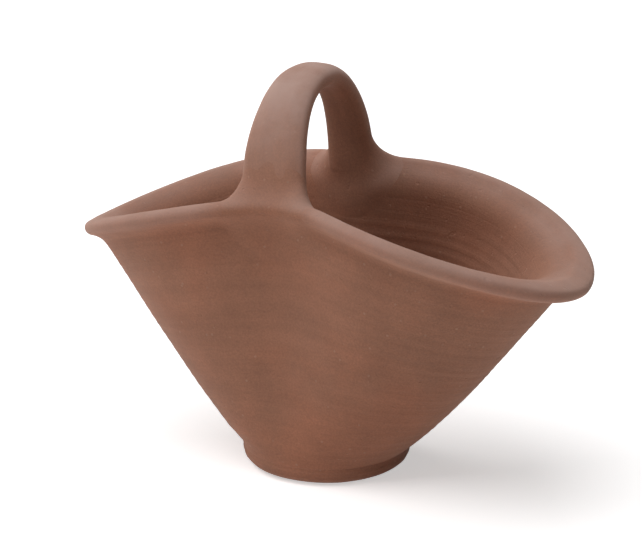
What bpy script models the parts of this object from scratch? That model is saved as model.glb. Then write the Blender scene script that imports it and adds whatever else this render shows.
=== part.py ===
"""A terracotta basket lamp: a wheel-thrown bowl on a low foot, squeezed in at its waist, with a rolled
lip and a pulled strap handle luted across the mouth.

Metres, +Z up. The origin is the middle of the foot's flat underside. The mouth is longest along X, and
the handle bridges it along Y. Every clay wall starts as a straight-sided blank, written as
(out, along): out from the blank's outer side, and along its height. opened() then leans the wall out,
squeezes the mouth and rolls the lip over, as the potter does with the soft bowl.
"""

import math

import bmesh
import bpy
from mathutils import Vector

# Driving dimensions, in metres and degrees
GAP = 0.0003               # clearance left between neighbouring pieces
WALL_THICKNESS = 0.0052
FLOOR_THICKNESS = 0.0060
FLOOR_FILLET = 0.0070      # inside corner between floor and wall

FOOT_HEIGHT = 0.0053
FOOT_RADIUS = 0.0245       # upper side of the foot
FOOT_BASE_RADIUS = 0.0208  # its flat underside
FOOT_ROUNDING = 0.0031     # radius of its tucked-in side

WALL_FOOT_RADIUS = 0.0246  # outer side of the wall where it leaves the foot
WALL_SLANT = 0.0697        # length of the wall from foot to lip, measured along the clay
END_LIFT = 0.020           # share by which the wall is longer at +X, and shorter at -X
FLARE = 0.52               # extra lean of the wall at its foot
FLARE_FADE = 4.9           # how quickly that extra lean dies out up the wall
MOUTH_HALF_LENGTH = 0.0712
MOUTH_HALF_WIDTH = 0.0451  # before the waist is pressed in
MOUTH_FULLNESS = 1.11      # exponent of the oval: 1 is an ellipse, more is slimmer at the ends
WAIST_DEPTH = 0.0202       # how far each side is pressed in
WAIST_LENGTH = 0.0311      # distance along X at which half of that is left

LIP_START = 0.0007         # straight clay below the lip's turn
LIP_LENGTH = 0.0086        # of the lip, measured along the middle of the clay, without its round edge
LIP_LEAN = 0.0012          # by how much the lip is longer than that at +X, and shorter at -X
LIP_TURN = 49.0            # degrees that the lip turns outwards from the wall
LIP_UNDER_RADIUS = 0.0039  # hollow under the lip
TIP_UNDER_RADIUS = 0.0052  # the same hollow at the bowl's -X tip

STRAP_WIDTH = 0.0127       # at the top of the arch
STRAP_FLARE = 0.0040       # by how much it is wider at its roots
STRAP_TAPER = 0.0025       # wider than that by this much at the -Y root, and slimmer at the +Y root
STRAP_THICKNESS = 0.0064
STRAP_TOP = 0.1176         # highest point of the object
STRAP_HALF_SPAN = 0.0231   # of the arch's centre line
STRAP_SQUARENESS = 2.23    # exponent of the arch: 2 is an ellipse
STRAP_SECTION = 2.6        # exponent of the strap's section: 2 is an ellipse, more is boxier
STRAP_SINK = 0.0037        # how far below the lip's top the arch starts
STRAP_TAIL = 0.0050        # straight clay below the arch at each end, which is then cut to the lip
STRAP_OFFSET = -0.0041     # along X, from the middle of the mouth
STRAP_LEAN = -2.5          # degrees towards +X with height

PAD_MARGIN = 0.0010        # how far the pressed clay reaches past the strap's sides
PAD_HALF_DEPTH = 0.0050    # along Y
PAD_HALF_HEIGHT = 0.0080
PAD_DROP = 0.0035          # its centre, below the lip's top
PAD_PROUD = 0.0036         # its centre, outside the strap's centre line

ROUND_STEPS = 60           # steps round the bowl
WALL_STEPS = 9             # steps up the wall
LIP_STEPS = 5              # steps along the lip
SKIRT = 0.012              # height of the cutter that trims the strap's ends to the lip
SHARP_ANGLE = math.radians(32)


# The clay's form -------------------------------------------------------------------------------------

def smooth(value):
    """0 to 1 with soft ends."""
    value = min(max(value, 0.0), 1.0)
    return value * value * (3 - 2 * value)


def signed_power(value, exponent):
    return math.copysign(abs(value) ** exponent, value)


def radial(theta):
    return Vector((math.cos(theta), math.sin(theta), 0))


def mouth_plan(theta):
    """The top of the wall in plan: an oval pressed in at the middle of both long sides."""
    x = MOUTH_HALF_LENGTH * math.cos(theta)
    pressed = WAIST_DEPTH / (1 + (x / WAIST_LENGTH) ** 2)
    y = signed_power(math.sin(theta), MOUTH_FULLNESS) * (MOUTH_HALF_WIDTH - pressed)
    return Vector((x, y, 0))


def spread(share):
    """Share of the wall's reach gained at this share of its height: more of it near the foot."""
    extra = FLARE * (1 - (1 - share) ** FLARE_FADE) / FLARE_FADE
    return (share + extra) / (1 + FLARE / FLARE_FADE)


def wall_rise(theta):
    """Height of the wall: its slant is fixed, so it stands lower where it reaches further out."""
    reach = mouth_plan(theta) - radial(theta) * WALL_FOOT_RADIUS
    slant = WALL_SLANT * (1 + END_LIFT * math.cos(theta))
    return math.sqrt(slant ** 2 - reach.length_squared)


def wall_point(theta, share):
    """The wall's outer side."""
    foot = radial(theta) * WALL_FOOT_RADIUS
    point = foot.lerp(mouth_plan(theta), spread(share))
    point.z = FOOT_HEIGHT + GAP + wall_rise(theta) * share
    return point


def wall_frame(theta, share):
    """Unit vectors out of the wall and up along it, in the upright plane square to its plan."""
    swing, step = math.radians(2), 0.01
    along_plan = wall_point(theta + swing, share) - wall_point(theta - swing, share)
    outward = Vector((along_plan.y, -along_plan.x, 0)).normalized()
    low = max(share - step, 0)
    climb = wall_point(theta, low + step) - wall_point(theta, low)
    lean = math.atan2(climb.dot(outward), climb.z)
    up = Vector((0, 0, 1))
    return (outward * math.cos(lean) - up * math.sin(lean),
            outward * math.sin(lean) + up * math.cos(lean))


def rolled(theta, out, beyond):
    """Rolls clay that stands this far beyond the wall's top over into the lip, as (out, beyond)."""
    tip = ((1 - math.cos(theta)) / 2) ** 4
    radius = LIP_UNDER_RADIUS + (TIP_UNDER_RADIUS - LIP_UNDER_RADIUS) * tip + WALL_THICKNESS / 2
    straight = min(beyond, LIP_START)
    lip = min(max(beyond - LIP_START, 0), LIP_LENGTH)
    edge = max(beyond - LIP_START - LIP_LENGTH, 0)
    travel = lip * (1 + LIP_LEAN / LIP_LENGTH * math.cos(theta)) + edge
    turn = min(travel / radius, math.radians(LIP_TURN))
    after = travel - radius * turn
    offset = out + WALL_THICKNESS / 2
    return (radius - radius * math.cos(turn) + after * math.sin(turn) + offset * math.cos(turn)
            - WALL_THICKNESS / 2,
            straight + radius * math.sin(turn) + after * math.cos(turn) - offset * math.sin(turn))


def opened(blank):
    """Where a point of the straight-sided blank goes when the bowl is opened, squeezed and rolled."""
    theta = math.atan2(blank.y, blank.x)
    rho = math.hypot(blank.x, blank.y)
    share = min(max(blank.z / WALL_SLANT, 0), 1)
    out, beyond = rolled(theta, rho - WALL_FOOT_RADIUS, max(blank.z - WALL_SLANT, 0))
    normal, upward = wall_frame(theta, share)
    normal = radial(theta).lerp(normal, smooth(blank.z / (FLOOR_THICKNESS + FLOOR_FILLET / 2)))
    walled = wall_point(theta, share) + normal.normalized() * out + upward * beyond
    floored = radial(theta) * rho + Vector((0, 0, FOOT_HEIGHT + GAP + blank.z))
    return floored.lerp(walled, smooth((rho / WALL_FOOT_RADIUS - 0.4) / 0.45))


# Outlines of the blank, as (out, along) points --------------------------------------------------------

def arc(centre, radius, start, end, steps):
    """Points on an arc about (out, along), its angle in degrees from +along towards +out."""
    points = []
    for step in range(steps + 1):
        angle = math.radians(start + (end - start) * step / steps)
        points.append((centre[0] + radius * math.sin(angle), centre[1] + radius * math.cos(angle)))
    return points


def bowl_outline():
    rise = [WALL_SLANT * (step / WALL_STEPS) ** 1.3 for step in range(WALL_STEPS + 1)]
    corner = -WALL_THICKNESS - FLOOR_FILLET
    fillet = arc((corner, FLOOR_THICKNESS + FLOOR_FILLET), FLOOR_FILLET, 90, 180, 4)
    inside = [(-WALL_THICKNESS, along) for along in reversed(rise) if along > fillet[0][1] * 1.15]
    centre, halfway = -WALL_FOOT_RADIUS, -WALL_FOOT_RADIUS * 0.5
    underside = [(centre, 0), (halfway, 0)]
    floor = [(centre, FLOOR_THICKNESS)]
    return underside + [(0, along) for along in rise] + inside + fillet + floor


def lip_outline(grow=0.0):
    """The lip before it is rolled: a straight wall with a round edge, grown outwards all round."""
    seam, edge = WALL_SLANT + GAP - grow, WALL_SLANT + LIP_START + LIP_LENGTH
    heights = [seam + (edge - seam) * step / LIP_STEPS for step in range(LIP_STEPS)]
    outside = [(grow, along) for along in heights]
    inside = [(-WALL_THICKNESS - grow, along) for along in reversed(heights)]
    return outside + arc((-WALL_THICKNESS / 2, edge), WALL_THICKNESS / 2 + grow, 90, -90, 6) + inside


def wall_cutter_outline():
    low, high = WALL_SLANT * 0.55, WALL_SLANT + GAP
    steps = [low + (high - low) * step / 3 for step in range(4)]
    outside = [(GAP, along) for along in steps]
    return outside + [(-WALL_THICKNESS - GAP, along) for along in reversed(steps)]


# Building ----------------------------------------------------------------------------------------------

def clear_scene():
    for item in list(bpy.data.objects):
        bpy.data.objects.remove(item, do_unlink=True)


def clay(name, colour, roughness=0.85):
    material = bpy.data.materials.new(name)
    material.use_nodes = True
    shader = material.node_tree.nodes["Principled BSDF"]
    shader.inputs["Base Color"].default_value = (*colour, 1)
    shader.inputs["Roughness"].default_value = roughness
    shader.inputs["Metallic"].default_value = 0.0
    material.diffuse_color = (*colour, 1)
    return material


def new_object(name, shape, material=None):
    """An object from a bmesh, shaded smooth; without a material it is a cutter."""
    bmesh.ops.remove_doubles(shape, verts=shape.verts, dist=1e-6)
    bmesh.ops.recalc_face_normals(shape, faces=shape.faces)
    mesh = bpy.data.meshes.new(name)
    shape.to_mesh(mesh)
    shape.free()
    mesh.shade_smooth()
    mesh.set_sharp_from_angle(angle=SHARP_ANGLE)
    item = bpy.data.objects.new(name, mesh)
    bpy.context.scene.collection.objects.link(item)
    if material:
        mesh.materials.append(material)
    else:
        item.hide_render = True
        item.display_type = "WIRE"
    return item


def cut(item, *cutters):
    for cutter in cutters:
        boolean = item.modifiers.new("cut by " + cutter.name, "BOOLEAN")
        boolean.operation = "DIFFERENCE"
        boolean.solver = "EXACT"
        boolean.object = cutter


def spun(outline, closed, steps=ROUND_STEPS):
    """A bmesh turned from (out, along) points round the blank's axis."""
    shape = bmesh.new()
    points = [shape.verts.new((WALL_FOOT_RADIUS + out, 0, along)) for out, along in outline]
    edges = [shape.edges.new(pair) for pair in zip(points, points[1:])]
    if closed:
        edges.append(shape.edges.new((points[-1], points[0])))
    bmesh.ops.spin(shape, geom=points + edges, axis=(0, 0, 1), cent=(0, 0, 0),
                   angle=math.tau, steps=steps, use_merge=True)
    return shape


def squeezed(outline, closed, skirt=0.0):
    """A spun blank, opened, squeezed and rolled. A skirt is its outer side, carried straight down."""
    shape = spun(outline, closed)
    middle = WALL_FOOT_RADIUS - WALL_THICKNESS / 2
    for vertex in shape.verts:
        outside = math.hypot(vertex.co.x, vertex.co.y) > middle
        vertex.co = opened(vertex.co)
        vertex.co.z -= skirt * outside
    return shape


def foot_shape():
    """The low round foot, cut from the hump with a wire: flat below, with a rounded side."""
    sides = arc((FOOT_RADIUS - FOOT_ROUNDING, FOOT_HEIGHT * 0.62), FOOT_ROUNDING, 160, 90, 5)
    outline = [(0, 0), (FOOT_BASE_RADIUS, 0), *sides, (FOOT_RADIUS, FOOT_HEIGHT), (0, FOOT_HEIGHT)]
    blank = [(radius - WALL_FOOT_RADIUS, height) for radius, height in outline]
    return spun(blank, closed=False)


def strap_base():
    """Height at which the arch starts, sunk below the top of the lip at the waist."""
    waist = math.pi / 2
    tops = [opened(radial(waist) * (WALL_FOOT_RADIUS + out) + Vector((0, 0, along))).z
            for out, along in lip_outline()]
    return max(tops) - STRAP_SINK


def strap_width(turn):
    """Width of the strap, from its -Y root at 0 over the top to its +Y root at pi."""
    return STRAP_WIDTH + STRAP_FLARE * (1 - math.sin(turn)) + STRAP_TAPER * math.cos(turn)


def strap_shape(grow=0.0):
    """A straight bar of flat oval section, bent over into the arch."""
    length_steps, section_steps = 30, 16
    whole = length_steps / (length_steps - 2)
    base = strap_base()
    height = STRAP_TOP - STRAP_THICKNESS / 2 - base
    shape = bmesh.new()
    bmesh.ops.create_cone(shape, cap_ends=True, segments=section_steps, radius1=1, radius2=1, depth=1)
    sides = [edge for edge in shape.edges if abs(edge.verts[0].co.z - edge.verts[1].co.z) > 0.5]
    bmesh.ops.subdivide_edges(shape, edges=sides, cuts=length_steps - 1, use_grid_fill=True)
    for vertex in shape.verts:
        along = vertex.co.z * whole
        turn = (min(max(along, -0.5), 0.5) + 0.5) * math.pi
        tail = STRAP_TAIL * max(abs(along) - 0.5, 0) / (0.5 * whole - 0.5)
        across, over = vertex.co.x, vertex.co.y
        power = 2 / STRAP_SQUARENESS
        centre = Vector((0, -STRAP_HALF_SPAN * signed_power(math.cos(turn), power),
                         height * math.sin(turn) ** power))
        ellipse = Vector((0, -math.cos(turn) * height, math.sin(turn) * STRAP_HALF_SPAN))
        outward = ellipse.normalized()
        width = strap_width(turn) + 2 * grow
        thickness = STRAP_THICKNESS + 2 * grow
        section = 2 / STRAP_SECTION
        point = centre + Vector((signed_power(across, section) * width / 2, 0, 0))
        point += outward * signed_power(over, section) * thickness / 2
        point.x += STRAP_OFFSET + math.tan(math.radians(STRAP_LEAN)) * point.z
        point.z += base - tail
        vertex.co = point
    return shape


def pad_shape(side):
    """The wad of clay pressed round one end of the strap, over the lip and onto the wall."""
    shape = bmesh.new()
    bmesh.ops.create_uvsphere(shape, u_segments=20, v_segments=12, radius=1)
    half_width = strap_width(math.pi * (1 + side) / 2) / 2 + PAD_MARGIN
    centre = Vector((STRAP_OFFSET, (STRAP_HALF_SPAN + PAD_PROUD) * side,
                     strap_base() + STRAP_SINK - PAD_DROP))
    bmesh.ops.scale(shape, vec=(half_width, PAD_HALF_DEPTH, PAD_HALF_HEIGHT), verts=shape.verts)
    bmesh.ops.translate(shape, vec=centre, verts=shape.verts)
    return shape


def build():
    clear_scene()
    new_object("thrown_bowl", squeezed(bowl_outline(), closed=False),
               clay("wall clay", (0.25, 0.118, 0.074)))
    new_object("turned_foot", foot_shape(), clay("foot clay", (0.19, 0.086, 0.053)))
    new_object("rolled_rim", squeezed(lip_outline(), closed=True),
               clay("lip clay", (0.28, 0.14, 0.095)))

    landing = new_object("landing cutter", squeezed(lip_outline(GAP), closed=True, skirt=SKIRT))
    strap = new_object("strap_handle", strap_shape(), clay("strap clay", (0.30, 0.155, 0.115)))
    cut(strap, landing)

    lip_cutter = new_object("lip cutter", squeezed(lip_outline(GAP), closed=True))
    wall_cutter = new_object("wall cutter", squeezed(wall_cutter_outline(), closed=True))
    strap_cutter = new_object("strap cutter", strap_shape(GAP))
    pad_clay = clay("luting clay", (0.26, 0.125, 0.082))
    for name, side in (("near_handle_pad", -1), ("far_handle_pad", 1)):
        pad = new_object(name, pad_shape(side), pad_clay)
        cut(pad, strap_cutter, lip_cutter, wall_cutter)


build()
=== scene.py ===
"""A terracotta basket lamp: thrown bowl, turned foot, rolled lip, pulled strap handle and luted pads.

Every piece is modelled around the packed CAD frame, in metres, with +Z up. The bowl and the lip
start as a straight-sided blank spun round the Z axis, which is then opened out and squeezed at the
waist. The pads are pressed round the strap's ends and wiped over the lip and the wall.
"""

import math

import bmesh
import bpy
import numpy as np
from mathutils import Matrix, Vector, noise
from mathutils.bvhtree import BVHTree


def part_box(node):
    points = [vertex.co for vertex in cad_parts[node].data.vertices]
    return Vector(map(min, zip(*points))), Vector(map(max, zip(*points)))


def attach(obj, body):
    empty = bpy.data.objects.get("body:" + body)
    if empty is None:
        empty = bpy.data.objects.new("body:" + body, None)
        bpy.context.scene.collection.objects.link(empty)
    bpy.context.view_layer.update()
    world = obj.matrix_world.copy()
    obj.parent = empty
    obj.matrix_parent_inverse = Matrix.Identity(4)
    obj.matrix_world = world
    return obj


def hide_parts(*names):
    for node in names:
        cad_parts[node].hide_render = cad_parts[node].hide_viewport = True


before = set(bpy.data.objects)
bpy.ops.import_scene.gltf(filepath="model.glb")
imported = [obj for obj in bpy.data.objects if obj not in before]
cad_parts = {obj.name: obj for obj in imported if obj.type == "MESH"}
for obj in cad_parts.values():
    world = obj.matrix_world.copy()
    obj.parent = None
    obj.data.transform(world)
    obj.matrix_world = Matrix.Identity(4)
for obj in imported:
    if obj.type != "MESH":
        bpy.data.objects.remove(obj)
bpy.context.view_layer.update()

bl_info = {
    "name": "Terracotta Basket Lamp",
    "version": (1, 0, 0),
    "blender": (4, 5, 0),
    "location": "View3D > Sidebar > Lamp",
    "description": "Builds a thrown and squeezed terracotta lamp with a strap handle",
    "category": "Add Mesh",
}

BODY = "root"
BOWL_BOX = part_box("thrown_bowl")
FOOT_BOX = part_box("turned_foot")
LIP_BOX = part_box("rolled_rim")
STRAP_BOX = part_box("strap_handle")
TUCK = 0.0004       # how far a piece is drawn in where it runs on into the next one
OVERLAP = 0.0016    # how far it runs on there
STRAP_ARC = 0.075   # rough length of the arch, which spaces the strap's rings
TAIL_TAPER = 0.4    # share by which the strap's buried tails narrow
ROOT_RADIUS, ROOT_FADE = 0.010, 0.016   # where the strap's root ends on the lip, and fades out
LUMP_START, LUMP_SWEEP = -0.46, 1.0     # the lip under a pad, as angles from the waist
LUMP_DEPTH, LUMP_RISE = 0.026, 0.022    # the wall below the lip and the strap above it, under a pad
PRESSING_PASSES, SHRINKING_PASSES = 6, 2   # of smoothing, when a pad is swollen and as it shrinks


# Settings ----------------------------------------------------------------------------------------------

def length(name, description, default):
    return bpy.props.FloatProperty(name=name, description=description, default=default,
                                   unit="LENGTH", subtype="DISTANCE", precision=5)


def ratio(name, description, default):
    return bpy.props.FloatProperty(name=name, description=description, default=default)


def angle(name, description, degrees):
    return bpy.props.FloatProperty(name=name, description=description, unit="ROTATION",
                                   subtype="ANGLE", default=math.radians(degrees))


def colour(name, description, default):
    return bpy.props.FloatVectorProperty(name=name, description=description, default=default,
                                         subtype="COLOR", size=3, min=0, max=1)


class LampBowlSettings(bpy.types.PropertyGroup):
    """Sizes of the thrown wall and floor."""
    base: length("Base", "Height of the underside of the floor", BOWL_BOX[0].z)
    thickness: length("Wall thickness", "Thickness of wall and lip", 0.0052)
    floor: length("Floor thickness", "Thickness of the floor", 0.0060)
    fillet: length("Floor fillet", "Radius between floor and wall, inside", 0.0070)
    foot_radius: length("Foot radius", "Radius of the wall where it leaves the foot", 0.0246)
    slant: length("Wall slant", "Length of the wall up the clay", 0.0697)
    end_lift: ratio("End lift", "Share by which the wall is longer at +X", 0.020)
    flare: ratio("Flare", "Extra lean of the wall at its foot", 0.52)
    flare_fade: ratio("Flare fade", "How quickly the extra lean dies out", 4.9)
    neck: ratio("Neck", "Share by which the wall draws in above the foot, at -X", 0.85)
    neck_height: ratio("Neck height", "Share of the wall's height that the neck takes", 0.05)
    throat: ratio("Throat", "Share by which the wall draws in below the lip, at -X", 0.014)
    half_length: length("Mouth half length", "Along X, at the top of the wall", BOWL_BOX[1].x)
    half_width: length("Mouth half width", "Along Y, before the waist is pressed in", 0.0451)
    fullness: ratio("Mouth fullness", "Exponent of the oval: 1 is an ellipse", 1.11)
    waist_depth: length("Waist depth", "How far each side is pressed in", 0.0202)
    waist_length: length("Waist length", "Distance at which half of that is left", 0.0311)
    ridge_pitch: length("Ridge pitch", "Height climbed by the potter's fingers in one turn", 0.0031)
    ridge_outside: length("Outside ridges", "Height of the finger ridges outside", 0.00007)
    ridge_inside: length("Inside ridges", "Height of the finger ridges inside", 0.00009)


class LampLipSettings(bpy.types.PropertyGroup):
    """Sizes of the rolled lip."""
    turn: angle("Turn", "How far the lip turns out from the wall", 49)
    start: length("Start", "Straight clay below the turn", 0.0007)
    under_radius: length("Hollow radius", "Radius of the hollow under the lip", 0.0039)
    tip_radius: length("Tip hollow radius", "The same hollow at the bowl's -X tip", 0.0072)
    reach: length("Reach", "Length along the middle of the clay, without the round edge", 0.0086)
    lean: length("Lean", "By how much the lip is longer at +X, and shorter at -X", 0.0012)


class LampFootSettings(bpy.types.PropertyGroup):
    """Sizes of the turned foot."""
    radius: length("Radius", "Upper side of the foot", FOOT_BOX[1].x)
    height: length("Height", "Height of the foot", FOOT_BOX[1].z)
    base_radius: length("Base radius", "Radius of the flat underside", 0.0206)
    rounding: length("Rounding", "Radius of the rounded side", 0.0042)


class LampStrapSettings(bpy.types.PropertyGroup):
    """Sizes of the strap handle."""
    top: length("Top", "Highest point of the strap", STRAP_BOX[1].z - 0.0002)
    base: length("Base", "Height at which the arch starts", LIP_BOX[1].z - 0.0037)
    tail: length("Tail", "Straight clay below the arch at each end", 0.0050)
    width: length("Width", "At the top of the arch", 0.0127)
    flare: length("Flare", "By how much it is wider at its roots", 0.0040)
    taper: length("Taper", "Wider by this at the -Y root, and slimmer at the +Y root", 0.0025)
    thickness: length("Thickness", "Of the strap", 0.0064)
    half_span: length("Half span", "Of the arch's centre line", 0.0231)
    squareness: ratio("Squareness", "Exponent of the arch: 2 is an ellipse", 2.23)
    section: ratio("Section", "Exponent of the section: 2 is an ellipse", 2.6)
    offset: length("Offset", "Along X from the middle of the mouth", -0.0041)
    lean: angle("Lean", "Towards +X with height", -2.5)


class LampPadSettings(bpy.types.PropertyGroup):
    """Sizes of the pads of pressed clay."""
    fillet: length("Fillet", "Radius that the clay fills the inner corners to", 0.0070)
    full: length("Full", "Distance from the root within which the clay is whole", 0.0105)
    edge: length("Edge", "Distance from the root at which it has thinned out", 0.0175)
    tallness: ratio("Tallness", "How much further it reaches up and down", 1.1)
    drop: length("Drop", "Of its middle, below the lip's top", 0.0025)
    cover: length("Cover", "Thickness of the clay smeared over the bare pieces", 0.0004)
    sink: length("Sink", "Depth at which its edge lies below the bare clay", 0.00015)
    grain: length("Grain", "Size of its faces while it is pressed", 0.00055)
    swellings: bpy.props.IntProperty(name="Swellings", description="Steps of the filling",
                                     default=4)
    wiping: bpy.props.IntProperty(name="Wiping", description="Smoothing passes at the end",
                                  default=12)


class LampClaySettings(bpy.types.PropertyGroup):
    """Colours of the fired clay."""
    body: colour("Body", "Main colour of the clay", (0.36, 0.165, 0.100))
    warm: colour("Warm", "Redder patches", (0.385, 0.160, 0.092))
    # Pale tint of rubbed edges and of dust, also used as a painted highlight of the overhead light on
    # faces that look up.
    pale_dust_wear_and_highlight: colour("Pale", "Bloom on faces that look up", (0.56, 0.39, 0.335))
    # Used only for the grog specks; the foot's darker tone is painted shade from the foot clay's shade
    # factor.
    dark: colour("Dark", "Specks and the burnt shade near the foot", (0.16, 0.075, 0.05))


class LampStageSettings(bpy.types.PropertyGroup):
    """Floor, lights and camera."""
    floor: colour("Floor", "Colour of the floor", (0.93, 0.93, 0.93))
    glow: bpy.props.FloatProperty(name="Glow", default=0.50,
                                  description="Light that the camera sees the floor give")
    bounce: bpy.props.FloatProperty(name="Bounce", description="Light that the floor gives the lamp",
                                    default=0.12)
    sky: bpy.props.FloatProperty(name="Sky", description="Strength of the even light",
                                 default=0.045)
    top: bpy.props.FloatProperty(name="Top light", description="Power of the overhead softbox",
                                 default=35.0, unit="POWER")
    front: bpy.props.FloatProperty(name="Front light", description="Power of the front softbox",
                                   default=2.2, unit="POWER")
    azimuth: angle("Azimuth", "Of the camera, from -Y towards +X", 28.4)
    elevation: angle("Elevation", "Of the camera, above the horizon", 18.27)
    distance: length("Distance", "From the camera to the point that it looks at", 0.8527)
    lens: bpy.props.FloatProperty(name="Lens", description="Focal length", default=166.0,
                                  unit="CAMERA")
    aim: bpy.props.FloatVectorProperty(name="Aim", description="Point that the camera looks at",
                                       default=(-0.00195, 0, 0.05538), subtype="XYZ",
                                       unit="LENGTH")


# Forms -------------------------------------------------------------------------------------------------

def smooth(value):
    """0 to 1 with soft ends."""
    value = np.clip(value, 0, 1)
    return value * value * (3 - 2 * value)


def signed_power(value, exponent):
    return np.sign(value) * np.abs(value) ** exponent


def clouds(points, size, seed=0.0):
    """Smooth noise, about -1 to 1, with lumps of this size in metres."""
    shift = Vector((seed, 0.37 * seed, -0.71 * seed))
    return np.array([noise.noise(Vector(point) / size + shift) for point in points])


def radial(theta):
    return np.stack((np.cos(theta), np.sin(theta), 0 * theta), axis=-1)


def column(values):
    return values[:, np.newaxis]


class Wall:
    """The bowl's wall, as a straight-sided blank that is opened out, squeezed and rolled over."""

    def __init__(self, scene):
        self.sizes = scene.lamp_bowl
        self.lip = scene.lamp_lip

    def mouth_plan(self, theta):
        """The top of the wall in plan: an oval pressed in at the middle of both long sides."""
        x = self.sizes.half_length * np.cos(theta)
        pressed = self.sizes.waist_depth / (1 + (x / self.sizes.waist_length) ** 2)
        y = signed_power(np.sin(theta), self.sizes.fullness) * (self.sizes.half_width - pressed)
        return np.stack((x, y, 0 * x), axis=-1)

    def point(self, theta, share):
        """The wall's outer side, at this share of its height."""
        foot = radial(theta) * self.sizes.foot_radius
        reach = self.mouth_plan(theta) - foot
        at_tip = (1 - np.cos(theta)) / 2
        drawn_in = self.sizes.neck * at_tip * np.exp(-(share / self.sizes.neck_height) ** 2)
        drawn_in += self.sizes.throat * at_tip ** 4 * np.exp(-((1 - share) / 0.25) ** 2)
        fade = self.sizes.flare_fade
        extra = self.sizes.flare * (1 - (1 - share) ** fade) / fade
        spread = (share + extra) / (1 + self.sizes.flare / fade)
        slant = self.sizes.slant * (1 + self.sizes.end_lift * np.cos(theta))
        point = foot + reach * column(spread * (1 - drawn_in))
        point[:, 2] = self.sizes.base + share * np.sqrt(slant ** 2 - (reach ** 2).sum(axis=1))
        return point

    def frame(self, theta, share):
        """Unit vectors out of the wall and up along it, in the upright plane square to its plan."""
        swing, step = math.radians(2), 0.01
        plan = self.point(theta + swing, share) - self.point(theta - swing, share)
        outward = np.stack((plan[:, 1], -plan[:, 0], 0 * theta), axis=-1)
        outward /= column(np.linalg.norm(outward, axis=1))
        low = np.maximum(share - step, 0)
        climb = self.point(theta, low + step) - self.point(theta, low)
        lean = np.arctan2((climb * outward).sum(axis=1), climb[:, 2])
        up = np.array((0, 0, 1.0))
        cosine, sine = column(np.cos(lean)), column(np.sin(lean))
        return outward * cosine - up * sine, outward * sine + up * cosine

    def rolled(self, theta, out, beyond):
        """Rolls clay that stands this far beyond the wall's top over into the lip."""
        lip, half = self.lip, self.sizes.thickness / 2
        tip = ((1 - np.cos(theta)) / 2) ** 4
        radius = lip.under_radius + (lip.tip_radius - lip.under_radius) * tip + half
        upright = np.minimum(beyond, lip.start)
        edge = np.maximum(beyond - lip.start - lip.reach, 0)
        travel = (beyond - upright - edge) * (1 + lip.lean / lip.reach * np.cos(theta)) + edge
        turn = np.minimum(travel / radius, lip.turn)
        after = travel - radius * turn
        sine, cosine, offset = np.sin(turn), np.cos(turn), out + half
        return (radius - radius * cosine + after * sine + offset * cosine - half,
                upright + radius * sine + after * cosine - offset * sine)

    def opened(self, blank):
        """Where points of the straight blank go when the bowl is opened, squeezed and rolled."""
        sizes = self.sizes
        theta = np.arctan2(blank[:, 1], blank[:, 0])
        rho = np.hypot(blank[:, 0], blank[:, 1])
        along = blank[:, 2]
        share = np.clip(along / sizes.slant, 0, 1)
        past_wall = np.maximum(along - sizes.slant, 0)
        out, beyond = self.rolled(theta, rho - sizes.foot_radius, past_wall)
        normal, upward = self.frame(theta, share)
        turned = column(smooth(along / (sizes.floor + sizes.fillet / 2)))
        normal = radial(theta) * (1 - turned) + normal * turned
        normal /= column(np.linalg.norm(normal, axis=1))
        walled = self.point(theta, share) + normal * column(out) + upward * column(beyond)
        walled[:, 2] += np.minimum(along, 0)
        floored = radial(theta) * column(rho)
        floored[:, 2] = sizes.base + along
        share_walled = column(smooth((rho / sizes.foot_radius - 0.4) / 0.45))
        return floored * (1 - share_walled) + walled * share_walled

    def ridges(self, blank, seed):
        """Finger ridges from -1 to 1: a spiral whose spacing and strength wander."""
        theta = np.arctan2(blank[:, 1], blank[:, 0])
        spiral = blank[:, 2] / self.sizes.ridge_pitch + theta / math.tau
        slow = blank * np.array((1, 1, 2.2))
        phase = math.tau * (spiral + 0.45 * clouds(slow, 0.030, seed))
        strength = 0.65 + 0.6 * clouds(slow, 0.017, seed + 5)
        return (np.cos(phase) + 0.3 * np.cos(2 * phase + 0.8)) * strength / 1.3


def arc(centre, radius, start, end, steps):
    """Points on an arc about (out, along), its angle in degrees from +along towards +out."""
    angles = np.radians(np.linspace(start, end, steps + 1))
    return [(centre[0] + radius * math.sin(a), centre[1] + radius * math.cos(a)) for a in angles]


def straight(start, end, steps):
    """Points from start to end, without the end."""
    return [tuple(Vector(start).lerp(Vector(end), step / steps)) for step in range(steps)]


def spun(outline, radius, steps, closed, start=0.0, sweep=math.tau):
    """A bmesh turned from (out, along) points at this radius."""
    shape = bmesh.new()
    direction = Vector((math.cos(start), math.sin(start), 0))
    points = [shape.verts.new(direction * (radius + out) + Vector((0, 0, along)))
              for out, along in outline]
    edges = [shape.edges.new(pair) for pair in zip(points, points[1:])]
    if closed:
        edges.append(shape.edges.new((points[-1], points[0])))
    whole = sweep == math.tau
    bmesh.ops.spin(shape, geom=points + edges, axis=(0, 0, 1), cent=(0, 0, 0),
                   angle=sweep, steps=steps, use_merge=whole)
    bmesh.ops.remove_doubles(shape, verts=shape.verts, dist=1e-7)
    open_edges = [edge for edge in shape.edges if edge.is_boundary]
    if open_edges:
        bmesh.ops.holes_fill(shape, edges=open_edges)
    bmesh.ops.recalc_face_normals(shape, faces=shape.faces)
    return shape


def coordinates(shape):
    return np.array([vertex.co[:] for vertex in shape.verts])


def place(shape, points):
    for vertex, point in zip(shape.verts, points):
        vertex.co = point


def normals(shape):
    shape.normal_update()
    return np.array([vertex.normal[:] for vertex in shape.verts])


def push(shape, heights):
    """Moves every vertex out along its normal."""
    place(shape, coordinates(shape) + normals(shape) * column(heights))


def uneven(shape, height=0.00013, size=0.014):
    """The slight lumpiness of hand work, all inwards, and the same wherever two pieces meet."""
    points = coordinates(shape)
    push(shape, height * (clouds(points, size) + 0.35 * clouds(points, size / 3.1, 3) - 1))


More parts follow.
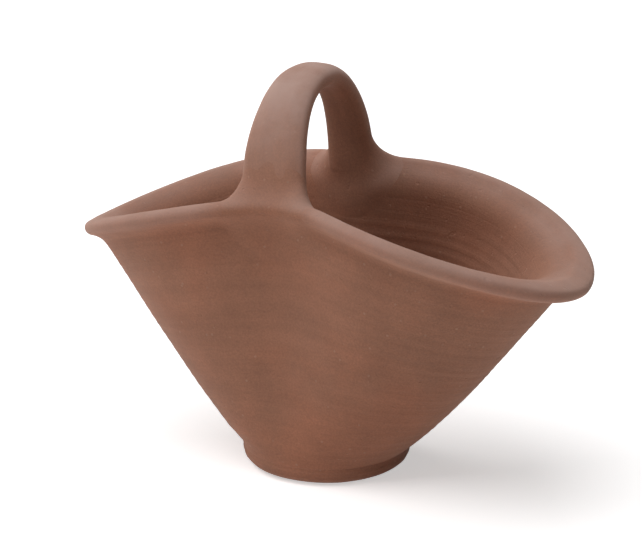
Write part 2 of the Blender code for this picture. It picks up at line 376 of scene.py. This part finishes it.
def note(shape, name, values):
    """Keeps a number for each vertex, which the clay's texture follows."""
    layer = shape.verts.layers.float.new(name)
    for vertex, value in zip(shape.verts, values):
        vertex[layer] = value


def finished(name, shape, node, material):
    """The piece's object, riding on the frame and standing for its CAD node."""
    mesh = bpy.data.meshes.new(name)
    shape.to_mesh(mesh)
    shape.free()
    mesh.shade_smooth()
    mesh.materials.append(material)
    piece = bpy.data.objects.new(name, mesh)
    bpy.context.scene.collection.objects.link(piece)
    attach(piece, BODY)
    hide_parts(node)
    return piece


def lip_outline(bowl, lip, grow=0.0, tuck=TUCK, overlap=OVERLAP):
    """The lip before it is rolled, as (out, along) points, tucked in where it runs on from the wall."""
    edge = bowl.slant + lip.start + lip.reach
    outer, inner = grow, -bowl.thickness - grow
    points = [(inner + tuck, bowl.slant - overlap), (outer - tuck, bowl.slant - overlap)]
    points += [(outer - tuck * 0.25, bowl.slant - overlap / 2)]
    points += straight((outer, bowl.slant), (outer, edge), 26)
    points += arc(((outer + inner) / 2, edge), (outer - inner) / 2, 90, -90, 20)
    points += straight((inner, edge), (inner, bowl.slant), 26)[1:] + [(inner, bowl.slant)]
    return points + [(inner + tuck * 0.25, bowl.slant - overlap / 2)]


def bend_strap(shape, strap, grow=0.0):
    """Bends a bar of unit radius and length into the arch. Gives each vertex's place on it."""
    bar = coordinates(shape)
    tail_share = strap.tail / STRAP_ARC
    along = bar[:, 2] * (1 + 2 * tail_share)
    turn = (along.clip(-0.5, 0.5) + 0.5) * math.pi
    tail = strap.tail * (np.abs(along) - 0.5).clip(0) / tail_share
    across, over = bar[:, 0], bar[:, 1]
    height = strap.top - strap.thickness / 2 - strap.base
    power = 2 / strap.squareness
    sine, cosine = np.sin(turn).clip(0), np.cos(turn)
    centre = np.stack((0 * turn, -strap.half_span * signed_power(cosine, power),
                       height * sine ** power), axis=-1)
    outward = np.stack((0 * turn, -cosine * height, sine * strap.half_span), axis=-1)
    outward /= column(np.linalg.norm(outward, axis=1))
    buried = 1 - TAIL_TAPER * smooth(tail / strap.tail)
    wander = 1 + 0.045 * np.sin(2.1 * turn + 0.6) + 0.02 * np.sin(5.3 * turn)
    width = (strap.width + strap.flare * (1 - sine) + strap.taper * cosine) * wander + 2 * grow
    section = 2 / strap.section
    half_thickness = strap.thickness / 2 + grow
    points = centre + outward * column(signed_power(over, section) * half_thickness * buried)
    points[:, 0] += signed_power(across, section) * width / 2 * buried
    points[:, 0] += strap.offset + math.tan(strap.lean) * points[:, 2]
    points[:, 2] += strap.base - tail
    place(shape, points)
    return turn, across, over


def strap_bar(around, lengthwise):
    """A straight round bar along Z, one unit long, cut into rings."""
    shape = bmesh.new()
    bmesh.ops.create_cone(shape, cap_ends=True, segments=around, radius1=1, radius2=1, depth=1)
    sides = [edge for edge in shape.edges if abs(edge.verts[0].co.z - edge.verts[1].co.z) > 0.5]
    bmesh.ops.subdivide_edges(shape, edges=sides, cuts=lengthwise, use_grid_fill=True)
    return shape


# Clay --------------------------------------------------------------------------------------------------

def add_node(tree, kind, inputs=None, **settings):
    """A shader node with its settings, its inputs given as numbers, colours or linked sockets."""
    item = tree.nodes.new(kind)
    for key, value in settings.items():
        setattr(item, key, value)
    for key, value in (inputs or {}).items():
        if isinstance(value, bpy.types.NodeSocket):
            tree.links.new(value, item.inputs[key])
        else:
            item.inputs[key].default_value = value
    return item


def new_group(name, inputs, outputs):
    """An empty shader node group with named sockets, its input node and its output node."""
    tree = bpy.data.node_groups.new(name, "ShaderNodeTree")
    for label, kind, value in inputs:
        socket = tree.interface.new_socket(label, in_out="INPUT", socket_type=kind)
        socket.default_value = value
    for label, kind in outputs:
        tree.interface.new_socket(label, in_out="OUTPUT", socket_type=kind)
    return tree, tree.nodes.new("NodeGroupInput"), tree.nodes.new("NodeGroupOutput")


def math_node(tree, operation, first, second=0.0, clamp=False):
    return add_node(tree, "ShaderNodeMath", {0: first, 1: second},
                    operation=operation, use_clamp=clamp).outputs[0]


def mix_colours(tree, factor, first, second, blend="MIX"):
    item = add_node(tree, "ShaderNodeMix", data_type="RGBA", blend_type=blend)
    for index, value in ((0, factor), (6, first), (7, second)):
        if isinstance(value, bpy.types.NodeSocket):
            tree.links.new(value, item.inputs[index])
        else:
            item.inputs[index].default_value = value
    return item.outputs[2]


def stretch(tree, value, low, high, to_low=0.0, to_high=1.0):
    return add_node(tree, "ShaderNodeMapRange",
                    {"Value": value, "From Min": low, "From Max": high,
                     "To Min": to_low, "To Max": to_high},
                    interpolation_type="SMOOTHSTEP").outputs[0]


def noise_at(tree, vector, scale, detail=2.0, roughness=0.5):
    return add_node(tree, "ShaderNodeTexNoise", {"Vector": vector, "Scale": scale,
                                                 "Detail": detail, "Roughness": roughness})


def fired_clay_group():
    """Colour, roughness and grain of the fired clay body: patches, blushes, grog specks and sand."""
    grey = (0.5, 0.5, 0.5, 1)
    tree, given, result = new_group(
        "Fired clay",
        [("Body", "NodeSocketColor", grey), ("Warm", "NodeSocketColor", grey),
         ("Dark", "NodeSocketColor", grey), ("Specks", "NodeSocketFloat", 0.5)],
        [("Color", "NodeSocketColor"), ("Roughness", "NodeSocketFloat"),
         ("Height", "NodeSocketFloat")])
    position = add_node(tree, "ShaderNodeTexCoord").outputs["Object"]
    patches = noise_at(tree, position, 26, 3, 0.55).outputs[0]
    warmth = stretch(tree, patches, 0.36, 0.66)
    tone = mix_colours(tree, warmth, given.outputs["Body"], given.outputs["Warm"])
    blotches = noise_at(tree, position, 95, 4, 0.6).outputs[0]
    blotched = shade_of(tree, blotches, 0.25, 0.75, 0.93, 1.07)
    tone = mix_colours(tree, 1.0, tone, blotched, "MULTIPLY")
    sand = noise_at(tree, position, 1700, 3, 0.7).outputs[0]
    tone = mix_colours(tree, 1.0, tone, shade_of(tree, sand, 0.3, 0.7, 0.88, 1.1), "MULTIPLY")
    grog = add_node(tree, "ShaderNodeTexVoronoi", {"Vector": position, "Scale": 620.0,
                                                   "Randomness": 1.0}, feature="F1")
    chance = add_node(tree, "ShaderNodeSeparateColor", {0: grog.outputs["Color"]})
    near = stretch(tree, grog.outputs["Distance"], 0.16, 0.32, 1.0, 0.0)
    dark_speck = math_node(tree, "MULTIPLY", near, stretch(tree, chance.outputs[0], 0.90, 0.94))
    light_speck = math_node(tree, "MULTIPLY", near, stretch(tree, chance.outputs[1], 0.90, 0.95))
    dark_mask = math_node(tree, "MULTIPLY", dark_speck, given.outputs["Specks"], True)
    light_mask = math_node(tree, "MULTIPLY", light_speck, given.outputs["Specks"], True)
    tone = mix_colours(tree, dark_mask, tone, given.outputs["Dark"])
    tone = mix_colours(tree, light_mask, tone, (0.62, 0.42, 0.30, 1))
    roughness = stretch(tree, sand, 0.3, 0.75, 0.74, 0.92)
    hollows = noise_at(tree, position, 420, 2, 0.5).outputs[0]
    pits = stretch(tree, hollows, 0.66, 0.78, 0.0, -0.8)
    height = math_node(tree, "ADD", math_node(tree, "MULTIPLY", sand, 0.55), pits)
    height = math_node(tree, "ADD", height, math_node(tree, "MULTIPLY", light_speck, 0.3))
    tree.links.new(tone, result.inputs["Color"])
    tree.links.new(roughness, result.inputs["Roughness"])
    tree.links.new(height, result.inputs["Height"])
    return tree


def shade_of(tree, value, low, high, darkest, lightest):
    """A grey that runs from darkest to lightest as value runs from low to high."""
    grey = stretch(tree, value, low, high, darkest, lightest)
    return add_node(tree, "ShaderNodeCombineColor", {0: grey, 1: grey, 2: grey}).outputs[0]


def working_lines_group():
    """Fine lines that fingers, sponge or tool left along the way the clay was worked."""
    tree, given, result = new_group(
        "Working lines",
        [("Across", "NodeSocketFloat", 0.0), ("Spacing", "NodeSocketFloat", 900.0)],
        [("Streak", "NodeSocketFloat"), ("Height", "NodeSocketFloat")])
    position = add_node(tree, "ShaderNodeTexCoord").outputs["Object"]
    slow = add_node(tree, "ShaderNodeVectorMath", {0: position, "Scale": 16.0},
                    operation="SCALE").outputs[0]
    parts = add_node(tree, "ShaderNodeSeparateXYZ", {0: slow})
    lines = math_node(tree, "MULTIPLY", given.outputs["Across"], given.outputs["Spacing"])
    coarse = add_node(tree, "ShaderNodeCombineXYZ",
                      {0: parts.outputs[0], 1: parts.outputs[1],
                       2: math_node(tree, "MULTIPLY", lines, 0.35)}).outputs[0]
    fine = add_node(tree, "ShaderNodeCombineXYZ",
                    {0: parts.outputs[0], 1: parts.outputs[1], 2: lines}).outputs[0]
    broad = noise_at(tree, coarse, 1.0, 2, 0.5).outputs[0]
    narrow = noise_at(tree, fine, 1.0, 3, 0.65).outputs[0]
    streak = math_node(tree, "ADD", math_node(tree, "MULTIPLY", broad, 0.6),
                       math_node(tree, "MULTIPLY", narrow, 0.4))
    tree.links.new(streak, result.inputs["Streak"])
    tree.links.new(narrow, result.inputs["Height"])
    return tree


def dust_and_painted_highlight_group():
    """Pale dust and lime on faces that look up, which is also a painted highlight of the overhead light
    there.
    """
    tree, given, result = new_group(
        "Dust and painted highlight", [("Amount", "NodeSocketFloat", 0.5)], [("Mask", "NodeSocketFloat")])
    facing = add_node(tree, "ShaderNodeSeparateXYZ",
                      {0: add_node(tree, "ShaderNodeNewGeometry").outputs["Normal"]}).outputs[2]
    position = add_node(tree, "ShaderNodeTexCoord").outputs["Object"]
    patchy = stretch(tree, noise_at(tree, position, 60, 4, 0.6).outputs[0], 0.3, 0.7, 0.55, 1.0)
    mask = math_node(tree, "MULTIPLY", stretch(tree, facing, -0.15, 0.95), patchy)
    tree.links.new(math_node(tree, "MULTIPLY", mask, given.outputs["Amount"], True),
                   result.inputs["Mask"])
    return tree


def shared_group(name, build):
    """The named node group, built the first time that it is asked for."""
    return bpy.data.node_groups.get(name) or build()


def place_group(tree, name, build, inputs):
    item = tree.nodes.new("ShaderNodeGroup")
    item.node_tree = shared_group(name, build)
    for key, value in inputs.items():
        if isinstance(value, bpy.types.NodeSocket):
            tree.links.new(value, item.inputs[key])
        else:
            item.inputs[key].default_value = value
    return item


def opaque(value):
    return (*value, 1)


def clay_material(name, lines=None, spacing=900.0, line_depth=0.5, line_tone=0.045, dust_and_highlight=0.5,
                  specks=0.18, painted_shade=1.0, worn=0.0, bump=0.00016, bare_dust_and_highlight=None):
    """Fired clay. lines names the piece's attribute that its working lines are counted along. Faces that
    look up get pale dust, which also paints the overhead light's highlight, by the given amount,
    changing to the bare amount where the attribute "bare" is 1. A shade factor below 1 darkens the whole
    piece as painted shade."""
    clay = bpy.context.scene.lamp_clay
    material = bpy.data.materials.new(name)
    material.use_nodes = True
    tree = material.node_tree
    shader = tree.nodes["Principled BSDF"]
    shader.inputs["Specular IOR Level"].default_value = 0.32
    shader.inputs["Diffuse Roughness"].default_value = 0.6
    shader.inputs["Sheen Weight"].default_value = 0.12
    shader.inputs["Sheen Roughness"].default_value = 0.5
    shader.inputs["Sheen Tint"].default_value = (1, 0.93, 0.88, 1)
    body = place_group(tree, "Fired clay", fired_clay_group,
                       {"Body": opaque(clay.body), "Warm": opaque(clay.warm),
                        "Dark": opaque(clay.dark), "Specks": specks})
    tone, height = body.outputs["Color"], body.outputs["Height"]
    if lines:
        across = add_node(tree, "ShaderNodeAttribute", attribute_name=lines).outputs["Fac"]
        worked = place_group(tree, "Working lines", working_lines_group,
                             {"Across": across, "Spacing": spacing})
        streaks = shade_of(tree, worked.outputs["Streak"], 0.3, 0.7, 1 - line_tone, 1 + line_tone)
        tone = mix_colours(tree, 1.0, tone, streaks, "MULTIPLY")
        height = math_node(tree, "ADD", height,
                           math_node(tree, "MULTIPLY", worked.outputs["Height"], line_depth))
    # Painted shade: the whole piece's colour darkened by this factor.
    if painted_shade != 1.0:
        tone = mix_colours(tree, 1.0, tone, (painted_shade, painted_shade, painted_shade, 1), "MULTIPLY")
    if worn:
        rubbed = add_node(tree, "ShaderNodeAttribute", attribute_name="proud").outputs["Fac"]
        tone = mix_colours(tree, math_node(tree, "MULTIPLY", rubbed, worn, True), tone,
                           opaque(clay.pale_dust_wear_and_highlight))
    # Where the attribute "bare" is 1, the pale dust and painted highlight take their second amount, as
    # painted shade there.
    if bare_dust_and_highlight is not None:
        bare = add_node(tree, "ShaderNodeAttribute", attribute_name="bare").outputs["Fac"]
        dust_and_highlight = stretch(tree, bare, 0.0, 1.0, dust_and_highlight, bare_dust_and_highlight)
    # Pale dust on faces that look up, which is also a painted highlight of the overhead light.
    dust_and_highlight_node = place_group(tree, "Dust and painted highlight", dust_and_painted_highlight_group, {"Amount": dust_and_highlight})
    tone = mix_colours(tree, dust_and_highlight_node.outputs["Mask"], tone, opaque(clay.pale_dust_wear_and_highlight))
    relief = add_node(tree, "ShaderNodeBump", {"Height": height, "Distance": bump,
                                               "Strength": 0.8})
    tree.links.new(tone, shader.inputs["Base Color"])
    tree.links.new(body.outputs["Roughness"], shader.inputs["Roughness"])
    tree.links.new(relief.outputs[0], shader.inputs["Normal"])
    return material


# Operators ---------------------------------------------------------------------------------------------

class LAMP_OT_throw_bowl(bpy.types.Operator):
    """Throw the bowl's floor and wall, and squeeze it at the waist"""
    bl_idname = "lamp.throw_bowl"
    bl_label = "Throw the Bowl"

    def execute(self, context):
        bowl = context.scene.lamp_bowl
        wall = Wall(context.scene)
        shape = spun(self.outline(bowl), bowl.foot_radius, 256, closed=False)
        blank = coordinates(shape)
        place(shape, wall.opened(blank))
        rho = np.hypot(blank[:, 0], blank[:, 1])
        inside = smooth((bowl.foot_radius - rho) / bowl.thickness * 3 - 1)
        fade_start, fade_length, foot_fade = 0.007, 0.006, 0.003
        below_lip = 1 - smooth((blank[:, 2] - bowl.slant + fade_start) / fade_length)
        above_floor = smooth((rho / bowl.foot_radius - 0.35) / 0.3)
        above_foot = smooth(blank[:, 2] / foot_fade)
        outside_height = bowl.ridge_outside * wall.ridges(blank, 1) * above_foot
        inside_height = bowl.ridge_inside * wall.ridges(blank, 9) * above_floor
        spiral_pitch, spiral_eye, spiral_height = 0.0034, 0.002, 0.0002
        spiral = np.cos(math.tau * rho / spiral_pitch + np.arctan2(blank[:, 1], blank[:, 0]))
        on_floor = inside * (1 - above_floor) * smooth(rho / spiral_eye) * spiral_height * spiral
        heights = (outside_height * (1 - inside) + inside_height * inside) * below_lip + on_floor
        push(shape, heights)
        uneven(shape)
        note(shape, "worked", blank[:, 2] + (bowl.foot_radius - rho) * inside)
        finished("bowl_wall", shape, "thrown_bowl",
                 clay_material("wall clay", "worked", line_depth=0.9, dust_and_highlight=0.1))
        return {"FINISHED"}

    def outline(self, bowl):
        """The wall and floor as (out, along) points, tucked into the foot and into the lip."""
        centre, inner = -bowl.foot_radius, -bowl.thickness
        corner = inner - bowl.fillet
        fillet = arc((corner, bowl.floor + bowl.fillet), bowl.fillet, 90, 180, 14)
        points = straight((centre, 0), (centre * 0.25, 0), 8)
        points += [(centre * 0.1, -0.0012), (-0.0009, -0.0012), (-0.0003, -0.0007)]
        points += straight((0, 0), (0, bowl.slant), 104)
        points += [(0, bowl.slant), (-TUCK * 0.25, bowl.slant + OVERLAP / 2)]
        points += [(-TUCK, bowl.slant + OVERLAP), (inner + TUCK, bowl.slant + OVERLAP)]
        points += [(inner + TUCK * 0.25, bowl.slant + OVERLAP / 2)]
        points += straight((inner, bowl.slant), fillet[0], 88) + fillet
        return points + straight(fillet[-1], (centre, bowl.floor), 16)[1:] + [(centre, bowl.floor)]


class LAMP_OT_turn_foot(bpy.types.Operator):
    """Turn the low foot and cut it from the hump with a wire"""
    bl_idname = "lamp.turn_foot"
    bl_label = "Turn the Foot"

    def execute(self, context):
        foot = context.scene.lamp_foot
        shape = spun(self.outline(foot), 0.0, 224, closed=False)
        points = coordinates(shape)
        rho = np.hypot(points[:, 0], points[:, 1])
        on_side = smooth((points[:, 2] - 0.0008) / 0.001)
        theta = np.arctan2(points[:, 1], points[:, 0])
        ridge_pitch, ridge_height = 0.0017, 0.00005
        ridge = np.cos(math.tau * (points[:, 2] / ridge_pitch + theta / math.tau))
        push(shape, ridge_height * ridge * on_side)
        uneven(shape)
        points = coordinates(shape)
        underside = 1 - smooth(points[:, 2] / 0.0006)
        pull = np.hypot(points[:, 0] + 0.031, points[:, 1] - 0.012)
        wire_pitch, wire_depth = 0.0023, 0.00016
        wire = 0.5 + 0.5 * np.cos(math.tau * pull / wire_pitch + 2 * clouds(points, 0.012, 4))
        flat_rim = 1 - smooth((rho / foot.base_radius - 0.72) / 0.2)
        points[:, 2] = points[:, 2].clip(0) + wire_depth * underside * wire * flat_rim
        place(shape, points)
        note(shape, "worked", points[:, 2] + (foot.radius - rho))
        note(shape, "proud", np.exp(-((points[:, 2] - 0.0006) / 0.0008) ** 2))
        # The foot's clay is darkened a little as painted shade near the floor.
        finished("foot", shape, "turned_foot",
                 clay_material("foot clay", "worked", spacing=1400.0, line_depth=0.9,
                               painted_shade=0.97, worn=0.15, dust_and_highlight=0.3))
        return {"FINISHED"}

    def outline(self, foot):
        """The foot as (radius, height) points, tucked in under the wall."""
        shoulder = foot.height * 0.8
        seam, top = foot.height + 0.0003, foot.height + 0.0009
        points = straight((0, 0), (foot.base_radius, 0), 30) + [(foot.base_radius, 0)]
        points += arc((foot.radius - foot.rounding, shoulder), foot.rounding, 160, 90, 18)[:-1]
        points += straight((foot.radius, shoulder), (foot.radius, seam), 4) + [(foot.radius, seam)]
        return points + [(foot.radius - 0.0004, top - 0.0002), (foot.radius - 0.0014, top),
                         (foot.radius * 0.5, top), (0, top)]


class LAMP_OT_roll_lip(bpy.types.Operator):
    """Roll the top of the wall outwards into the lip"""
    bl_idname = "lamp.roll_lip"
    bl_label = "Roll the Lip"

    def execute(self, context):
        bowl, lip = context.scene.lamp_bowl, context.scene.lamp_lip
        shape = spun(lip_outline(bowl, lip), bowl.foot_radius, 288, closed=True)
        blank = coordinates(shape)
        place(shape, Wall(context.scene).opened(blank))
        edge = blank[:, 2] - bowl.slant - lip.start
        rho = np.hypot(blank[:, 0], blank[:, 1]) - bowl.foot_radius
        rolled = smooth(edge / 0.004)
        push(shape, 0.00010 * (clouds(coordinates(shape), 0.022, 11) - 1) * rolled)
        uneven(shape)
        note(shape, "worked", blank[:, 2] - 0.6 * rho)
        points, strap = coordinates(shape), context.scene.lamp_strap
        from_root = np.hypot(points[:, 0] - strap.offset, np.abs(points[:, 1]) - strap.half_span)
        open_lip = smooth((from_root - ROOT_RADIUS) / ROOT_FADE)
        note(shape, "proud", smooth((edge - lip.reach + 0.001) / 0.003) * open_lip)
        # Dims the pale dust and painted highlight near the wall and round the strap's roots, as painted
        # shade there.
        note(shape, "bare", 1 - smooth((edge + 0.0005) / lip.reach) * (0.4 + 0.6 * open_lip))
        finished("rolled_lip", shape, "rolled_rim",
                 clay_material("lip clay", "worked", line_depth=0.5, line_tone=0.06, worn=0.25,
                               bare_dust_and_highlight=0.1))
        return {"FINISHED"}


class LAMP_OT_pull_strap(bpy.types.Operator):
    """Pull the strap handle and bend it over the mouth"""
    bl_idname = "lamp.pull_strap"
    bl_label = "Pull the Strap"

    def execute(self, context):
        strap = context.scene.lamp_strap
        shape = strap_bar(64, 190)
        turn, across, over = bend_strap(shape, strap)
        outer_face = smooth(over * 2.5)
        deep = -np.exp(-((across - 0.30) / 0.16) ** 2)
        grooves = deep - 0.8 * np.exp(-((across + 0.34) / 0.2) ** 2)
        groove_depth = 0.00013
        push(shape, groove_depth * grooves * outer_face * (0.6 + 0.4 * np.sin(3 * turn)))
        uneven(shape)
        note(shape, "worked", across * strap.width / 2 + 0.01 * np.sign(over))
        note(shape, "proud", smooth((np.abs(across) - 0.7) / 0.3) * outer_face)
        # The strap's top carries the strongest pale dust and painted highlight.
        finished("strap", shape, "strap_handle",
                 clay_material("strap clay", "worked", spacing=1300.0, line_depth=0.7,
                               line_tone=0.05, worn=0.2, dust_and_highlight=0.9))
        return {"FINISHED"}


class LAMP_OT_lute_pads(bpy.types.Operator):
    """Press clay round both ends of the strap and wipe it over the lip and down the wall"""
    bl_idname = "lamp.lute_pads"
    bl_label = "Lute the Pads"

    def execute(self, context):
        pads, strap = context.scene.lamp_pads, context.scene.lamp_strap
        # The pads' pale dust and painted highlight, weaker at the middle of each pad.
        material = clay_material("luting clay", dust_and_highlight=0.5, bare_dust_and_highlight=0.3)
        for name, node, side in (("near_pad", "near_handle_pad", -1),
                                 ("far_pad", "far_handle_pad", 1)):
            root = np.array((strap.offset, strap.half_span * side, LIP_BOX[1].z))
            bare = self.grown(self.lumps(context.scene, side, root), pads.grain)
            shape = self.filled(bare, pads)
            push(shape, np.full(len(shape.verts), pads.cover))
            self.wipe_off(shape, bare, root + np.array((0, 0, -pads.drop)), pads)
            uneven(shape)
            finished(name, shape, node, material)
        return {"FINISHED"}

    def lumps(self, scene, side, root):
        """The strap's end and the lip and wall below it, cut out round the root and overlapping."""
        bowl, lip, strap = scene.lamp_bowl, scene.lamp_lip, scene.lamp_strap
        shrink = -0.00003
        outline = lip_outline(bowl, lip, grow=shrink, tuck=0.0, overlap=LUMP_DEPTH)
        waist = side * math.pi / 2
        shape = spun(outline, bowl.foot_radius, 48, closed=True,
                     start=waist + LUMP_START, sweep=LUMP_SWEEP)
        place(shape, Wall(scene).opened(coordinates(shape)))
        bar = strap_bar(32, 60)
        bend_strap(bar, strap, grow=shrink)
        top = Vector((0, 0, root[2] + LUMP_RISE))
        everything = bar.verts[:] + bar.edges[:] + bar.faces[:]
        bmesh.ops.bisect_plane(bar, geom=everything, plane_co=top, plane_no=(0, 0, 1),
                               clear_outer=True)
        bmesh.ops.holes_fill(bar, edges=[edge for edge in bar.edges if edge.is_boundary])
        other = [vertex for vertex in bar.verts if vertex.co.y * side < 0]
        bmesh.ops.delete(bar, geom=other, context="VERTS")
        joined = bpy.data.meshes.new("strap end")
        bar.to_mesh(joined)
        bar.free()
        shape.from_mesh(joined)
        bpy.data.meshes.remove(joined)
        return shape

    def grown(self, shape, grain):
        """Overlapping shapes grown together into one skin of even faces."""
        mesh = bpy.data.meshes.new("lump")
        shape.to_mesh(mesh)
        shape.free()
        item = bpy.data.objects.new("lump", mesh)
        bpy.context.scene.collection.objects.link(item)
        remesh = item.modifiers.new("grown together", "REMESH")
        remesh.mode = "VOXEL"
        remesh.voxel_size = grain
        lump = item.evaluated_get(bpy.context.evaluated_depsgraph_get())
        skin = bmesh.new()
        skin.from_mesh(lump.to_mesh())
        lump.to_mesh_clear()
        bpy.data.objects.remove(item, do_unlink=True)
        bpy.data.meshes.remove(mesh)
        return skin

    def filled(self, bare, pads):
        """Clay pressed into the inner corners: swollen by the fillet's radius and shrunk again."""
        shape = bare.copy()
        step = pads.fillet / pads.swellings
        for _ in range(pads.swellings):
            push(shape, np.full(len(shape.verts), step))
            shape = self.grown(shape, pads.grain)
        self.soften(shape, PRESSING_PASSES)
        for _ in range(pads.swellings):
            push(shape, np.full(len(shape.verts), -step))
            self.soften(shape, SHRINKING_PASSES)
        shape = self.grown(shape, pads.grain)
        self.soften(shape, pads.wiping)
        return shape

    def soften(self, shape, passes):
        for _ in range(passes):
            bmesh.ops.smooth_vert(shape, verts=shape.verts, factor=0.5,
                                  use_axis_x=True, use_axis_y=True, use_axis_z=True)

    def wipe_off(self, shape, bare, centre, pads):
        """Thins the clay out to nothing at its edge, where it sinks just below the bare pieces."""
        skin = BVHTree.FromBMesh(bare)
        points = coordinates(shape)
        distance = np.linalg.norm((points - centre) / np.array((1, 1, pads.tallness)), axis=1)
        thinned = smooth((distance - pads.full) / (pads.edge - pads.full))
        for vertex, share in zip(shape.verts, thinned):
            nearest, normal, _, _ = skin.find_nearest(vertex.co)
            vertex.co = vertex.co.lerp(nearest - normal * pads.sink, share)
        # The pad's middle gets less of the pale dust and painted highlight, as painted shade at the
        # strap's root.
        dimmed_highlight_core, dimmed_highlight_fade = pads.full * 0.3, pads.full * 1.1
        note(shape, "bare", 1 - smooth((distance - dimmed_highlight_core) / dimmed_highlight_fade))
        bare.free()


class LAMP_OT_set_stage(bpy.types.Operator):
    """Set the floor, the soft lights and the camera"""
    bl_idname = "lamp.set_stage"
    bl_label = "Set the Stage"

    def execute(self, context):
        stage = context.scene.lamp_stage
        self.lay_floor(stage)
        self.hang_light("top softbox", (-0.45, -0.30, 1.6), size=2.0, power=stage.top,
                        tint=(1, 0.99, 0.99))
        self.hang_light("front softbox", (-0.9, -1.3, 0.5), size=0.9, power=stage.front,
                        tint=(1, 0.98, 0.96))
        world = bpy.data.worlds.new("even light")
        world.use_nodes = True
        tree = world.node_tree
        background = tree.nodes["Background"]
        background.inputs["Color"].default_value = (1, 0.98, 0.96, 1)
        seen = add_node(tree, "ShaderNodeLightPath").outputs["Is Camera Ray"]
        tree.links.new(stretch(tree, seen, 0.0, 1.0, stage.sky, 0.9), background.inputs["Strength"])
        context.scene.world = world
        context.scene.view_settings.view_transform = "Standard"
        self.aim_camera(context.scene, stage)
        return {"FINISHED"}

    def lay_floor(self, stage):
        shape = bmesh.new()
        bmesh.ops.create_circle(shape, cap_ends=True, segments=96, radius=6)
        mesh = bpy.data.meshes.new("floor")
        shape.to_mesh(mesh)
        shape.free()
        material = bpy.data.materials.new("floor")
        material.use_nodes = True
        shader = material.node_tree.nodes["Principled BSDF"]
        shader.inputs["Base Color"].default_value = opaque(stage.floor)
        shader.inputs["Roughness"].default_value = 0.9
        shader.inputs["Specular IOR Level"].default_value = 0.1
        shader.inputs["Emission Color"].default_value = (1, 1, 1, 1)
        seen = add_node(material.node_tree, "ShaderNodeLightPath").outputs["Is Camera Ray"]
        glow = stretch(material.node_tree, seen, 0.0, 1.0, stage.bounce, stage.glow)
        material.node_tree.links.new(glow, shader.inputs["Emission Strength"])
        mesh.materials.append(material)
        floor = bpy.data.objects.new("floor", mesh)
        bpy.context.scene.collection.objects.link(floor)

    def hang_light(self, name, place_at, size, power, tint):
        light = bpy.data.lights.new(name, "AREA")
        light.shape = "SQUARE"
        light.size = size
        light.energy = power
        light.color = tint
        item = bpy.data.objects.new(name, light)
        item.location = place_at
        lamp_middle = Vector((0, 0, 0.05))
        towards = lamp_middle - Vector(place_at)
        item.rotation_euler = towards.to_track_quat("-Z", "Y").to_euler()
        bpy.context.scene.collection.objects.link(item)

    def aim_camera(self, scene, stage):
        data = bpy.data.cameras.new("camera")
        data.lens = stage.lens
        data.sensor_width = 36
        camera = bpy.data.objects.new("camera", data)
        flat = math.cos(stage.elevation)
        back = Vector((math.sin(stage.azimuth) * flat, -math.cos(stage.azimuth) * flat,
                       math.sin(stage.elevation)))
        camera.location = Vector(stage.aim) + back * stage.distance
        camera.rotation_euler = (-back).to_track_quat("-Z", "Y").to_euler()
        scene.collection.objects.link(camera)
        scene.camera = camera


class LAMP_PT_panel(bpy.types.Panel):
    """Builds the lamp piece by piece"""
    bl_idname = "LAMP_PT_panel"
    bl_label = "Terracotta Lamp"
    bl_space_type = "VIEW_3D"
    bl_region_type = "UI"
    bl_category = "Lamp"

    def draw(self, context):
        for operator in OPERATORS:
            self.layout.operator(operator.bl_idname)
        for name, group in SETTINGS.items():
            box = self.layout.box()
            box.label(text=group.__doc__)
            for setting in group.__annotations__:
                box.prop(getattr(context.scene, name), setting)


SETTINGS = {
    "lamp_bowl": LampBowlSettings,
    "lamp_lip": LampLipSettings,
    "lamp_foot": LampFootSettings,
    "lamp_strap": LampStrapSettings,
    "lamp_pads": LampPadSettings,
    "lamp_clay": LampClaySettings,
    "lamp_stage": LampStageSettings,
}
OPERATORS = (LAMP_OT_throw_bowl, LAMP_OT_turn_foot, LAMP_OT_roll_lip, LAMP_OT_pull_strap,
             LAMP_OT_lute_pads, LAMP_OT_set_stage)


def register():
    for name, group in SETTINGS.items():
        bpy.utils.register_class(group)
        setattr(bpy.types.Scene, name, bpy.props.PointerProperty(type=group))
    for item in (*OPERATORS, LAMP_PT_panel):
        bpy.utils.register_class(item)


def unregister():
    for item in reversed((*OPERATORS, LAMP_PT_panel)):
        bpy.utils.unregister_class(item)
    for name, group in reversed(SETTINGS.items()):
        delattr(bpy.types.Scene, name)
        bpy.utils.unregister_class(group)


def main():
    register()
    bpy.ops.lamp.throw_bowl()
    bpy.ops.lamp.turn_foot()
    bpy.ops.lamp.roll_lip()
    bpy.ops.lamp.pull_strap()
    bpy.ops.lamp.lute_pads()
    bpy.ops.lamp.set_stage()


if __name__ == "__main__":
    main()
